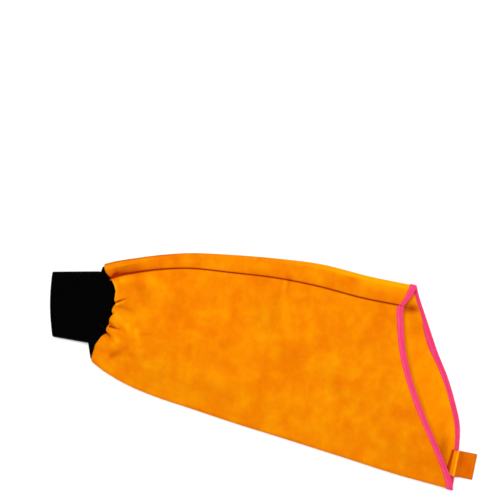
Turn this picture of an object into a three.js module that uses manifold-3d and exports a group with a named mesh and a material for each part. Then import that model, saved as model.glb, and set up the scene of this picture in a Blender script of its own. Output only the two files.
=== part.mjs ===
// A leather welding sleeve lying on its side, as it rests on a bench.
// One panel of split cowhide is folded round and sewn along its length. Its narrow end is gathered onto a
// knitted wrist cuff, its slanted mouth is bound with a woven tape, and a doubled leather tab is sewn inside
// the mouth at the shoulder. Millimetres, +Z up. +X runs from the cuff to the mouth, and +Y towards the fold
// beside the seam. The origin is on the surface that the sleeve lies on, under the middle of its outline.
import * as THREE from "three";
import { mergeVertices } from "three/addons/utils/BufferGeometryUtils.js";
import Module from "manifold-3d";

// The leather, measured flat
const leatherLength = 503; // along the plain fold, from the cuff to the mouth's tip
const leatherWall = 1.4;
const wristWidth = 135; // across the gathered edge
const mouthWidth = 285; // across the mouth
const wristSlant = 18; // how much later the seam's fold starts than the plain fold
const mouthSlant = 50; // how much earlier the seam's fold ends
const puffHeight = 42; // the fullest part, just past the gathers
const foldRadius = 5; // how tightly the hide turns at the two folds
const wristFoldRadius = 8; // and at the gathers
const gatherSetback = 21.5; // how far the upper edge is drawn back from the cuff's corners
const seamAllowance = 9; // width of the two hide edges turned in along the seam
const seamCrease = 1.6; // depth of the line that the stitching pulls in

// The tape round the mouth
const tapeWidth = 8.5; // on the outside
const tapeInside = 7;
const tapeWall = 0.9;

// The knitted cuff
const cuffLength = 51; // from its free end to the corner where it widens
const cuffEndWidth = 91;
const cuffRootWidth = 100;
const cuffEndHeight = 15;
const cuffRootHeight = 19;
const cuffWall = 3.2;
const cuffRootWall = 2; // the stretched rim that is sewn inside the leather
const cuffTuck = 8; // how deep that rim goes

// The doubled tab
const tabWidth = 36;
const tabReach = 28; // past the edge of the mouth
const tabInside = 13; // sewn length inside it
const tabWall = 1.6;
const tabTurn = -11.5; // degrees from +X
const tabPlace = 0.87; // share of the way from the seam's fold to the plain one

const sewnGap = 0.3; // clearance between two pieces that are sewn face to face

// How the leather lies, row by row along its length. spread runs from the wrist's width to the mouth's,
// centre is the middle of the outline as a share of the length, height is a share of puffHeight, and seam is
// where the seam crosses the upper side, as a share of the width from the fold beside it.
const layRows = [
  { along: 0.0, spread: 0.0, centre: -0.0229, height: 0.62, seam: 0.147 },
  { along: 0.04, spread: 0.132, centre: -0.034, height: 0.82, seam: 0.128 },
  { along: 0.1, spread: 0.277, centre: -0.0476, height: 0.97, seam: 0.112 },
  { along: 0.18, spread: 0.421, centre: -0.0602, height: 1.0, seam: 0.101 },
  { along: 0.28, spread: 0.551, centre: -0.0744, height: 0.93, seam: 0.098 },
  { along: 0.4, spread: 0.671, centre: -0.0966, height: 0.82, seam: 0.104 },
  { along: 0.55, spread: 0.793, centre: -0.1251, height: 0.7, seam: 0.112 },
  { along: 0.7, spread: 0.897, centre: -0.1573, height: 0.62, seam: 0.115 },
  { along: 0.85, spread: 0.947, centre: -0.1976, height: 0.58, seam: 0.108 },
  { along: 1.0, spread: 0.995, centre: -0.2314, height: 0.57, seam: 0.0985 },
];

// The cut of the mouth: how far its upper and lower edges reach past the straight line between the two
// fold tips, as shares of mouthWidth. across runs from the seam's fold to the plain fold.
const mouthRows = [
  { across: 0.0, upper: 0.0, lower: 0.0 },
  { across: 0.05, upper: -0.042, lower: 0.003 },
  { across: 0.1, upper: -0.083, lower: 0.01 },
  { across: 0.2, upper: -0.1, lower: 0.026 },
  { across: 0.33, upper: -0.104, lower: 0.047 },
  { across: 0.45, upper: -0.102, lower: 0.074 },
  { across: 0.58, upper: -0.087, lower: 0.089 },
  { across: 0.69, upper: -0.064, lower: 0.091 },
  { across: 0.81, upper: -0.032, lower: 0.064 },
  { across: 0.93, upper: -0.004, lower: 0.024 },
  { across: 1.0, upper: 0.0, lower: 0.0 },
];

// How far the upper gathered edge is drawn back, as a share of gatherSetback.
const setbackRows = [
  { across: 0.0, back: 0.0 },
  { across: 0.08, back: 0.2 },
  { across: 0.15, back: 0.58 },
  { across: 0.23, back: 0.9 },
  { across: 0.33, back: 1.0 },
  { across: 0.5, back: 0.92 },
  { across: 0.66, back: 0.72 },
  { across: 0.76, back: 0.32 },
  { across: 0.85, back: 0.05 },
  { across: 1.0, back: 0.0 },
];

// The tucks that take up the leather at the cuff. across is where each starts, lean how far across it has
// wandered at its end, reach its length as a share of the leather's, depth and half are shares of puffHeight
// and wristWidth, and notch is how far it draws the edge back, as a share of gatherSetback.
const upperTucks = [
  { across: 0.28, lean: -0.02, reach: 0.1, depth: 0.05, half: 0.04, notch: 0.02 },
  { across: 0.4, lean: -0.06, reach: 0.13, depth: 0.11, half: 0.04, notch: 0.12 },
  { across: 0.51, lean: -0.02, reach: 0.08, depth: 0.08, half: 0.036, notch: 0.12 },
  { across: 0.61, lean: 0.02, reach: 0.12, depth: 0.1, half: 0.04, notch: 0.06 },
  { across: 0.71, lean: 0.05, reach: 0.09, depth: 0.085, half: 0.04, notch: 0.16 },
  { across: 0.87, lean: -0.12, reach: 0.15, depth: 0.08, half: 0.045, notch: 0.05 },
];
const lowerTucks = [
  { across: 0.22, lean: 0.03, reach: 0.1, depth: 0.055, half: 0.045, notch: 0.08 },
  { across: 0.39, lean: 0.0, reach: 0.13, depth: 0.07, half: 0.045, notch: 0.1 },
  { across: 0.56, lean: 0.02, reach: 0.09, depth: 0.055, half: 0.045, notch: 0.08 },
  { across: 0.73, lean: 0.04, reach: 0.12, depth: 0.07, half: 0.045, notch: 0.1 },
];

// Broad hollows in the upper side: place along and across, size as shares of length and width, and depth as
// a share of puffHeight. A negative depth is a swelling.
const upperDents = [
  { along: 0.13, across: 0.3, long: 0.06, wide: 0.1, depth: 0.07 },
  { along: 0.15, across: 0.62, long: 0.05, wide: 0.12, depth: -0.05 },
  { along: 0.3, across: 0.42, long: 0.1, wide: 0.08, depth: 0.08 },
  { along: 0.33, across: 0.78, long: 0.12, wide: 0.09, depth: -0.05 },
  { along: 0.52, across: 0.24, long: 0.03, wide: 0.12, depth: 0.05 },
  { along: 0.6, across: 0.6, long: 0.13, wide: 0.09, depth: 0.07 },
  { along: 0.82, across: 0.3, long: 0.1, wide: 0.1, depth: -0.04 },
  { along: 0.84, across: 0.72, long: 0.08, wide: 0.08, depth: 0.04 },
];

// How finely the leather is divided
const upperSteps = 32;
const lowerSteps = 18;
const stripSteps = 4; // between the seam's fold and the seam
const foldSteps = 5; // round each fold
const cuffTuckPlaces = [0, cuffTuck / 2 / leatherLength, cuffTuck / leatherLength];
const middlePlaces = [
  0.03, 0.046, 0.066, 0.09, 0.12, 0.16, 0.21, 0.27, 0.34, 0.42, 0.5, 0.58, 0.66, 0.74, 0.82, 0.89, 0.94,
  0.966,
];
const tapeStart = 1 - tapeWidth / leatherLength;
const ringPlaces = [...cuffTuckPlaces, ...middlePlaces, tapeStart, 1];

// A smooth curve through one column of a table, at a place along its key column.
function curve(rows, key, column, at) {
  const last = rows.length - 1;
  const clamped = Math.min(Math.max(at, rows[0][key]), rows[last][key]);
  let i = 0;
  while (i < last - 1 && clamped > rows[i + 1][key]) i += 1;
  const slope = (a, b) => (rows[b][column] - rows[a][column]) / (rows[b][key] - rows[a][key]);
  const span = rows[i + 1][key] - rows[i][key];
  const start = slope(Math.max(i - 1, 0), Math.min(i + 1, last)) * span;
  const end = slope(Math.max(i, 0), Math.min(i + 2, last)) * span;
  const s = (clamped - rows[i][key]) / span;
  const a = rows[i][column];
  const b = rows[i + 1][column];
  return (
    a * (2 * s ** 3 - 3 * s ** 2 + 1) +
    start * (s ** 3 - 2 * s ** 2 + s) +
    b * (3 * s ** 2 - 2 * s ** 3) +
    end * (s ** 3 - s ** 2)
  );
}

const smooth = (x) => {
  const s = Math.min(Math.max(x, 0), 1);
  return s * s * (3 - 2 * s);
};

// The lanes are the lengthwise lines of the hide. Lane 0 is the seam. They go down the upper side to the
// plain fold, back under the sleeve, and up round the seam's fold.
const lanes = [];
for (let k = 0; k < upperSteps; k += 1) lanes.push({ side: "upper", share: k / upperSteps });
for (let k = 0; k < foldSteps; k += 1) lanes.push({ side: "plain", turn: 90 - (180 * k) / foldSteps });
for (let k = 0; k < lowerSteps; k += 1) lanes.push({ side: "lower", share: 1 - k / lowerSteps });
for (let k = 0; k < foldSteps; k += 1) lanes.push({ side: "seam", turn: -90 + (180 * k) / foldSteps });
for (let k = 0; k < stripSteps; k += 1) lanes.push({ side: "strip", share: k / stripSteps });

// A point of a flattened tube's wall, midway through it. from and to are the outline's two folds on plan.
function flatTubePoint(lane, from, to, wall, radius, height, seamShare) {
  const width = from.distanceTo(to);
  const inset = wall / 2 + radius;
  const flat = width - 2 * inset;
  let off;
  let z;
  if (lane.side === "seam" || lane.side === "plain") {
    const turn = THREE.MathUtils.degToRad(lane.turn);
    off = wall / 2 + radius * (1 - Math.cos(turn));
    if (lane.side === "plain") off = width - off;
    z = wall / 2 + radius + radius * Math.sin(turn);
  } else {
    const seam = (seamShare * width - inset) / flat;
    let share = lane.share;
    if (lane.side === "upper") share = seam + (1 - seam) * lane.share;
    if (lane.side === "strip") share = seam * lane.share;
    off = inset + share * flat;
    const rise = height - wall - 2 * radius;
    const bulge = Math.pow(4 * share * (1 - share), 1.2);
    z = lane.side === "lower" ? wall / 2 : wall / 2 + 2 * radius + rise * bulge;
  }
  const across = off / width;
  const plan = from.clone().lerp(to, across);
  return { point: new THREE.Vector3(plan.x, plan.y, z), across };
}

// How deep the tucks are at a place, and how far they draw the edge back.
function tuckDepth(tucks, along, across, width) {
  let depth = 0;
  let notch = 0;
  for (const tuck of tucks) {
    const fade = 1 - along / tuck.reach;
    if (fade <= 0) continue;
    const middle = tuck.across + tuck.lean * (along / tuck.reach);
    const away = ((across - middle) * width) / (tuck.half * wristWidth);
    const groove = Math.exp(-away * away);
    depth += tuck.depth * puffHeight * groove * Math.pow(fade, 1.3);
    notch += tuck.notch * gatherSetback * groove * Math.pow(fade, 3);
  }
  return { depth, notch };
}

function dentDepth(along, across) {
  let depth = 0;
  for (const dent of upperDents) {
    const a = (along - dent.along) / dent.long;
    const b = (across - dent.across) / dent.wide;
    depth += dent.depth * puffHeight * Math.exp(-a * a - b * b);
  }
  return depth;
}

// The middle of the leather's wall at a lane and a share of its length. The hide is lifted near the mouth by
// the tape that goes under it. A place before 0 carries the surface on, past the gathered edge.
const tapeLift = tapeWall + sewnGap;
function leatherPoint(lane, along) {
  if (along < 0) return leatherPoint(lane, 0).multiplyScalar(2).sub(leatherPoint(lane, -along));
  const place = along;
  const spread = curve(layRows, "along", "spread", place);
  const width = wristWidth + (mouthWidth - wristWidth) * spread;
  const centre = curve(layRows, "along", "centre", place) * leatherLength;
  const height = curve(layRows, "along", "height", place) * puffHeight;
  const seamShare = curve(layRows, "along", "seam", place);
  const radius = foldRadius + (wristFoldRadius - foldRadius) * (1 - smooth(place / 0.25));
  const seamFold = new THREE.Vector2(
    wristSlant + along * (leatherLength - mouthSlant - wristSlant),
    centre + width / 2,
  );
  const plainFold = new THREE.Vector2(along * leatherLength, centre - width / 2);
  const { point, across } = flatTubePoint(
    lane, seamFold, plainFold, leatherWall, radius, height, seamShare,
  );
  const nearCuff = Math.pow(1 - place, 6);
  const nearMouth = Math.pow(place, 3);
  const above = lane.side === "upper" || lane.side === "strip" || lane.turn > 0;
  point.x += curve(mouthRows, "across", above ? "upper" : "lower", across) * mouthWidth * nearMouth;
  if (above) point.x += curve(setbackRows, "across", "back", across) * gatherSetback * nearCuff;
  if (lane.side === "upper" || lane.side === "strip") {
    const tuck = tuckDepth(upperTucks, place, across, width);
    point.x += tuck.notch;
    point.z -= tuck.depth + dentDepth(place, across);
    if (lane.side === "upper" && lane.share === 0) point.z -= seamCrease;
  } else if (lane.side === "lower") {
    const tuck = tuckDepth(lowerTucks, place, across, width);
    point.x += tuck.notch;
    point.z += tuck.depth;
  }
  point.z += tapeLift * smooth((place - 0.94) / 0.03);
  return point;
}

// The outward direction of the leather at a lane and a place.
function leatherNormal(index, along) {
  const step = 0.002;
  const before = lanes[(index + lanes.length - 1) % lanes.length];
  const after = lanes[(index + 1) % lanes.length];
  const round = leatherPoint(after, along).sub(leatherPoint(before, along));
  const back = Math.max(along - step, 0);
  const forth = Math.min(back + 2 * step, 1);
  const lengthwise = leatherPoint(lanes[index], forth).sub(leatherPoint(lanes[index], forth - 2 * step));
  return lengthwise.cross(round).negate().normalize();
}

// A closed loop of points at one place along the leather, moved out from the middle of its wall.
const leatherLoop = (along, out) =>
  lanes.map((lane, index) =>
    leatherPoint(lane, along).addScaledVector(leatherNormal(index, along), out),
  );

// Joins closed loops, each to the next and the last to the first, into one ring-shaped shell.
function shellOfLoops(loops) {
  const count = loops[0].length;
  const positions = loops.flat().flatMap((p) => [p.x, p.y, p.z]);
  const faces = [];
  loops.forEach((loop, i) => {
    const here = i * count;
    const next = ((i + 1) % loops.length) * count;
    for (let k = 0; k < count; k += 1) {
      const k2 = (k + 1) % count;
      faces.push(here + k, here + k2, next + k2, here + k, next + k2, next + k);
    }
  });
  const geometry = new THREE.BufferGeometry();
  geometry.setAttribute("position", new THREE.Float32BufferAttribute(positions, 3));
  geometry.setIndex(faces);
  return geometry;
}

const wasm = await Module();
wasm.setup();

function solidOf(geometry) {
  const bare = geometry.clone();
  bare.deleteAttribute("normal");
  bare.deleteAttribute("uv");
  const merged = mergeVertices(bare, 1e-4);
  return new wasm.Manifold(
    new wasm.Mesh({
      numProp: 3,
      vertProperties: merged.attributes.position.array,
      triVerts: new Uint32Array(merged.index.array),
    }),
  );
}

function geometryOf(solid) {
  const mesh = solid.getMesh();
  const geometry = new THREE.BufferGeometry();
  geometry.setAttribute("position", new THREE.Float32BufferAttribute(mesh.vertProperties, 3));
  geometry.setIndex([...mesh.triVerts]);
  return geometry;
}

const hide = new THREE.MeshStandardMaterial({ color: 0xf58a0a, roughness: 0.9, metalness: 0 });
const knit = new THREE.MeshStandardMaterial({ color: 0x0a0a0c, roughness: 0.95, metalness: 0 });
const tape = new THREE.MeshStandardMaterial({ color: 0xf83f82, roughness: 0.6, metalness: 0 });

const sleeve = new THREE.Group();
function addPiece(name, geometry, material) {
  const piece = new THREE.Mesh(geometry, material);
  piece.name = name;
  sleeve.add(piece);
  return piece;
}

// The leather: one panel folded round, with its two long edges turned in together along the seam.
function seamAllowanceGeometry() {
  const lean = THREE.MathUtils.degToRad(24);
  const layers = 2 * leatherWall;
  const first = 0.035;
  const last = 0.955;
  const steps = 20;
  const sections = [];
  for (let k = 0; k <= steps; k += 1) {
    const along = first + ((last - first) * k) / steps;
    const root = leatherPoint(lanes[0], along);
    const up = leatherNormal(0, along);
    const side = leatherPoint(lanes[2], along).sub(root).normalize();
    const inward = side.clone().multiplyScalar(Math.cos(lean)).addScaledVector(up, -Math.sin(lean));
    const down = up.clone().multiplyScalar(-Math.cos(lean)).addScaledVector(side, -Math.sin(lean));
    const top = root.clone().addScaledVector(inward, -layers / 2);
    sections.push([
      top,
      top.clone().addScaledVector(inward, seamAllowance),
      top.clone().addScaledVector(inward, seamAllowance).addScaledVector(down, layers),
      top.clone().addScaledVector(down, layers),
    ]);
  }
  return barOfSections(sections);
}

// Joins open-ended sections of equal point counts into one bar with flat ends.
function barOfSections(sections) {
  const count = sections[0].length;
  const positions = sections.flat().flatMap((p) => [p.x, p.y, p.z]);
  const faces = [];
  for (let i = 0; i < sections.length - 1; i += 1) {
    for (let k = 0; k < count; k += 1) {
      const a = i * count + k;
      const b = i * count + ((k + 1) % count);
      faces.push(a, b, b + count, a, b + count, a + count);
    }
  }
  const end = (sections.length - 1) * count;
  for (let k = 1; k < count - 1; k += 1) {
    faces.push(0, k + 1, k);
    faces.push(end, end + k, end + k + 1);
  }
  const geometry = new THREE.BufferGeometry();
  geometry.setAttribute("position", new THREE.Float32BufferAttribute(positions, 3));
  geometry.setIndex(faces);
  return geometry;
}

const outerLoops = ringPlaces.map((along) => leatherLoop(along, leatherWall / 2));
const innerLoops = ringPlaces.map((along) => leatherLoop(along, -leatherWall / 2)).reverse();
const hideTube = solidOf(shellOfLoops([...outerLoops, ...innerLoops]));
const turnedEdges = solidOf(seamAllowanceGeometry());
addPiece("leather_sleeve", geometryOf(hideTube.add(turnedEdges)), hide);

// The tape that wraps the mouth's cut edge, folded over it from both sides.
function tapeGeometry() {
  const edge = lanes.map((lane) => leatherPoint(lane, 1));
  const normals = lanes.map((lane, index) => leatherNormal(index, 1));
  const inwards = lanes.map((lane, index) =>
    leatherPoint(lane, tapeStart).sub(edge[index]).normalize(),
  );
  const near = leatherWall / 2 + sewnGap;
  const far = near + tapeWall;
  const profile = [
    { in: tapeWidth, out: near },
    { in: tapeWidth, out: far },
    { in: 0, out: far },
    { in: -sewnGap - tapeWall * 0.7, out: far * 0.6 },
    { in: -sewnGap - tapeWall, out: 0 },
    { in: -sewnGap - tapeWall * 0.7, out: -far * 0.6 },
    { in: 0, out: -far },
    { in: tapeInside, out: -far },
    { in: tapeInside, out: -near },
    { in: -sewnGap, out: -near },
    { in: -sewnGap, out: near },
  ];
  const loops = profile.map((spot) =>
    edge.map((point, index) =>
      point
        .clone()
        .addScaledVector(inwards[index], spot.in)
        .addScaledVector(normals[index], spot.out),
    ),
  );
  return shellOfLoops(loops);
}
addPiece("mouth_binding", tapeGeometry(), tape);

// The knitted cuff: a flattened tube whose root widens abruptly to meet the leather's gathered edge.
const plainCorner = leatherPoint(lanes[upperSteps + 2], 0);
const seamCorner = leatherPoint(lanes[upperSteps + foldSteps + lowerSteps + 3], 0);
const rootGap = 2.5; // how far short of the leather's corners the plain part of the cuff ends
const cuffRows = [
  { along: 0.0, bow: 1, wall: 0.3 },
  { along: 0.012, bow: 1, wall: 0.75 },
  { along: 0.04, bow: 1, wall: 1 },
  { along: 0.35, bow: 0.6, wall: 1 },
  { along: 0.7, bow: 0.2, wall: 1 },
  { along: 1.0, bow: 0, wall: 1 },
];

// The middle of the cuff's wall at one row. Its free end is bowed a little and set towards the seam's fold.
function cuffLoop(row) {
  const endBow = 3;
  const endShift = 9;
  const middleY = (seamCorner.y + plainCorner.y) / 2 + 2.5;
  const endY = middleY + endShift;
  const endX = (plainCorner.x + seamCorner.x) / 2 - rootGap - cuffLength - wristSlant / 2;
  const width = cuffEndWidth + (cuffRootWidth - cuffEndWidth) * row.along;
  const height = cuffEndHeight + (cuffRootHeight - cuffEndHeight) * row.along;
  const y = endY + (middleY - endY) * row.along * 0.45;
  const seamX = endX + (seamCorner.x - rootGap - endX) * row.along;
  const plainX = endX + (plainCorner.x - rootGap - endX) * row.along;
  const from = new THREE.Vector2(seamX, y + width / 2);
  const to = new THREE.Vector2(plainX, y - width / 2);
  const radius = (height - cuffWall) / 2 - 0.6;
  return lanes.map((lane) => {
    const { point, across } = flatTubePoint(lane, from, to, cuffWall, radius, height, 0.147);
    point.x -= endBow * row.bow * Math.sin(Math.PI * across);
    return point;
  });
}

// The cuff's outer or inner surface: its plain part, then the thin stretched rim that follows the leather a
// little way inside it.
function cuffSurface(side) {
  const middles = cuffRows.map(cuffLoop);
  const plain = middles.map((loop, i) =>
    loop.map((point, k) => {
      const count = loop.length;
      const round = loop[(k + 1) % count].clone().sub(loop[(k + count - 1) % count]);
      const ahead = middles[Math.min(i + 1, middles.length - 1)][k];
      const behind = middles[Math.max(i - 1, 0)][k];
      const normal = ahead.clone().sub(behind).cross(round).negate().normalize();
      return point.clone().addScaledVector(normal, (side * cuffWall * cuffRows[i].wall) / 2);
    }),
  );
  const depth = leatherWall / 2 + sewnGap + (side > 0 ? 0 : cuffRootWall);
  const rim = [-rootGap / leatherLength, ...cuffTuckPlaces].map((along) => leatherLoop(along, -depth));
  return [...plain, ...rim];
}
addPiece("wrist_cuff", shellOfLoops([...cuffSurface(1), ...cuffSurface(-1).reverse()]), knit);

// The tab: a strip of hide folded in two, sewn inside the mouth, and dropping over the bound edge.
function tabGeometry() {
  const seat = tapeLift + leatherWall + sewnGap + tapeWall + sewnGap; // top of the tape inside the mouth
  const low = tabWall / 2;
  const high = seat + tabWall / 2;
  const layerGap = 0.5;
  const lift = tabWall + layerGap;
  const bendReach = 0.42 * tabReach; // where the lower layer touches the bench
  const foldInset = tabWall + layerGap / 2;
  const lowerLayer = [
    [-tabInside, high],
    [1.5, high],
    [0.3 * bendReach, high * 0.86 + low * 0.14],
    [0.6 * bendReach, high * 0.42 + low * 0.58],
    [0.85 * bendReach, high * 0.07 + low * 0.93],
    [bendReach, low],
    [tabReach - foldInset, low],
  ];
  const turns = [-60, -30, 0, 30, 60].map((degrees) => {
    const turn = THREE.MathUtils.degToRad(degrees);
    return [
      tabReach - foldInset + (lift / 2) * Math.cos(turn),
      low + lift / 2 + (lift / 2) * Math.sin(turn),
    ];
  });
  const upperLayer = lowerLayer.map(([u, z]) => [u, z + lift]).reverse();
  const middle = [...lowerLayer, ...turns, ...upperLayer];
  const sideOf = (sign) =>
    middle.map(([u, z], i) => {
      const [u0, z0] = middle[Math.max(i - 1, 0)];
      const [u1, z1] = middle[Math.min(i + 1, middle.length - 1)];
      const length = Math.hypot(u1 - u0, z1 - z0);
      const half = (sign * tabWall) / 2;
      return new THREE.Vector2(u + (half * (z1 - z0)) / length, z - (half * (u1 - u0)) / length);
    });
  const outline = new THREE.Shape([...sideOf(1), ...sideOf(-1).reverse()]);
  const geometry = new THREE.ExtrudeGeometry(outline, { depth: tabWidth, bevelEnabled: false });
  geometry.translate(0, 0, -tabWidth / 2);
  geometry.rotateX(Math.PI / 2);
  return geometry;
}
const lowerLanes = lanes.filter((lane) => lane.side === "lower");
const tabLane = lowerLanes[Math.round((1 - tabPlace) * lowerSteps)];
const tabSeat = leatherPoint(tabLane, 1);
const tab = addPiece("shoulder_tab", tabGeometry(), hide);
tab.position.set(tabSeat.x, tabSeat.y, 0);
tab.rotation.z = THREE.MathUtils.degToRad(tabTurn);

// Sets the origin under the middle of the outline, on the bench.
sleeve.updateMatrixWorld(true);
const box = new THREE.Box3().setFromObject(sleeve);
sleeve.position.set(-(box.min.x + box.max.x) / 2, -(box.min.y + box.max.y) / 2, -box.min.z);

export default sleeve;
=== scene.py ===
import math
from functools import lru_cache

import bmesh
import bpy
from mathutils import Matrix, Vector, noise


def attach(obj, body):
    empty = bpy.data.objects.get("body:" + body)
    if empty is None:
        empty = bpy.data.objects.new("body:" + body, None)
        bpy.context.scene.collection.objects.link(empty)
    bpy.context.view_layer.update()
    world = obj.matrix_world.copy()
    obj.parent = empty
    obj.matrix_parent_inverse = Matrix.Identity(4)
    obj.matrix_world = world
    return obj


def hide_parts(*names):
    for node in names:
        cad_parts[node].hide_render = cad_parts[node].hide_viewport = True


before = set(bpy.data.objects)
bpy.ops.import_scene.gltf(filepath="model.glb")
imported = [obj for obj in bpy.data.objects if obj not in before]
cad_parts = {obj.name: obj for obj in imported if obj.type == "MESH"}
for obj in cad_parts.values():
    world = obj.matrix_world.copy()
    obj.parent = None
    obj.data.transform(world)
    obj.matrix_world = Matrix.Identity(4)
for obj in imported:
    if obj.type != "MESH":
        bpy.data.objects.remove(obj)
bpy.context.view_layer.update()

# The sleeve's body is one panel of golden split cowhide, napped on both faces. It is folded round, its two
# long edges are turned in and sewn together, and its narrow end is turned under and gathered. It lies on its
# side: the lower half flat on the bench, the upper half puffed up past the gathers.
mm = 0.001
datum = Vector((-241.805 * mm, 94.139 * mm, 0.0))  # where the hide's lengths are measured from
panel_length = 503 * mm
hide = 1.4 * mm
wrist_width = 135 * mm
mouth_width = 285 * mm
wrist_slant = 18 * mm
mouth_slant = 50 * mm
puff_height = 42 * mm
fold_radius = 5.7 * mm
wrist_fold_radius = 8.7 * mm
gather_setback = 21.5 * mm
hem_roll = 2.4 * mm
tape_lift = 1.2 * mm

# How the folded panel lies along its length: spread is the width's share of the way from wrist to mouth,
# centre is in panel lengths, height a share of the puff, and seam a share of the width.
lay_rows = [
    dict(along=0.0, spread=0.0, centre=-0.0229, height=0.62, seam=0.147),
    dict(along=0.04, spread=0.132, centre=-0.034, height=0.82, seam=0.128),
    dict(along=0.1, spread=0.277, centre=-0.0476, height=0.97, seam=0.112),
    dict(along=0.18, spread=0.421, centre=-0.0602, height=1.0, seam=0.101),
    dict(along=0.28, spread=0.551, centre=-0.0744, height=0.93, seam=0.098),
    dict(along=0.4, spread=0.671, centre=-0.0966, height=0.82, seam=0.104),
    dict(along=0.55, spread=0.793, centre=-0.1251, height=0.7, seam=0.1055),
    dict(along=0.7, spread=0.897, centre=-0.1573, height=0.62, seam=0.1135),
    dict(along=0.85, spread=0.947, centre=-0.1976, height=0.58, seam=0.108),
    dict(along=1.0, spread=0.995, centre=-0.2314, height=0.57, seam=0.0985),
]
# How far the mouth's two edges stand out past a straight cut, and how far the gathers draw the wrist's back.
mouth_rows = [
    dict(across=0.0, upper=0.0, lower=0.0),
    dict(across=0.05, upper=-0.036, lower=0.003),
    dict(across=0.1, upper=-0.083, lower=0.01),
    dict(across=0.2, upper=-0.104, lower=0.026),
    dict(across=0.33, upper=-0.116, lower=0.047),
    dict(across=0.45, upper=-0.11, lower=0.074),
    dict(across=0.58, upper=-0.089, lower=0.089),
    dict(across=0.69, upper=-0.064, lower=0.091),
    dict(across=0.81, upper=-0.032, lower=0.064),
    dict(across=0.93, upper=-0.004, lower=0.024),
    dict(across=1.0, upper=0.0, lower=0.0),
]
setback_rows = [
    dict(across=0.0, back=0.0),
    dict(across=0.08, back=0.2),
    dict(across=0.15, back=0.58),
    dict(across=0.23, back=0.9),
    dict(across=0.33, back=1.0),
    dict(across=0.5, back=0.92),
    dict(across=0.66, back=0.72),
    dict(across=0.76, back=0.4),
    dict(across=0.85, back=0.08),
    dict(across=0.94, back=0.03),
    dict(across=1.0, back=-0.02),
]
# Gathers at the wrist, and the broad dents of the upper half.
upper_tucks = [
    dict(across=0.28, lean=-0.02, reach=0.09, depth=0.05, half=0.03, notch=0.02),
    dict(across=0.405, lean=-0.07, reach=0.12, depth=0.12, half=0.022, notch=0.12),
    dict(across=0.51, lean=-0.03, reach=0.06, depth=0.11, half=0.018, notch=0.12),
    dict(across=0.61, lean=-0.01, reach=0.1, depth=0.09, half=0.02, notch=0.05),
    dict(across=0.7, lean=0.05, reach=0.07, depth=0.13, half=0.02, notch=0.2),
    dict(across=0.87, lean=-0.14, reach=0.15, depth=0.07, half=0.045, notch=0.05),
]
lower_tucks = [
    dict(across=0.22, lean=0.03, reach=0.1, depth=0.05, half=0.04, notch=0.08),
    dict(across=0.39, lean=0.0, reach=0.13, depth=0.06, half=0.04, notch=0.1),
    dict(across=0.56, lean=0.02, reach=0.09, depth=0.05, half=0.04, notch=0.08),
    dict(across=0.73, lean=0.04, reach=0.12, depth=0.06, half=0.04, notch=0.1),
]
dents = [
    dict(along=0.13, across=0.3, long=0.06, wide=0.1, depth=0.07),
    dict(along=0.15, across=0.62, long=0.05, wide=0.12, depth=-0.05),
    dict(along=0.3, across=0.42, long=0.1, wide=0.08, depth=0.08),
    dict(along=0.33, across=0.78, long=0.12, wide=0.09, depth=-0.05),
    dict(along=0.52, across=0.24, long=0.03, wide=0.12, depth=0.05),
    dict(along=0.6, across=0.6, long=0.13, wide=0.09, depth=0.07),
    dict(along=0.82, across=0.3, long=0.1, wide=0.1, depth=-0.04),
    dict(along=0.84, across=0.72, long=0.08, wide=0.08, depth=0.04),
]
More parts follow.
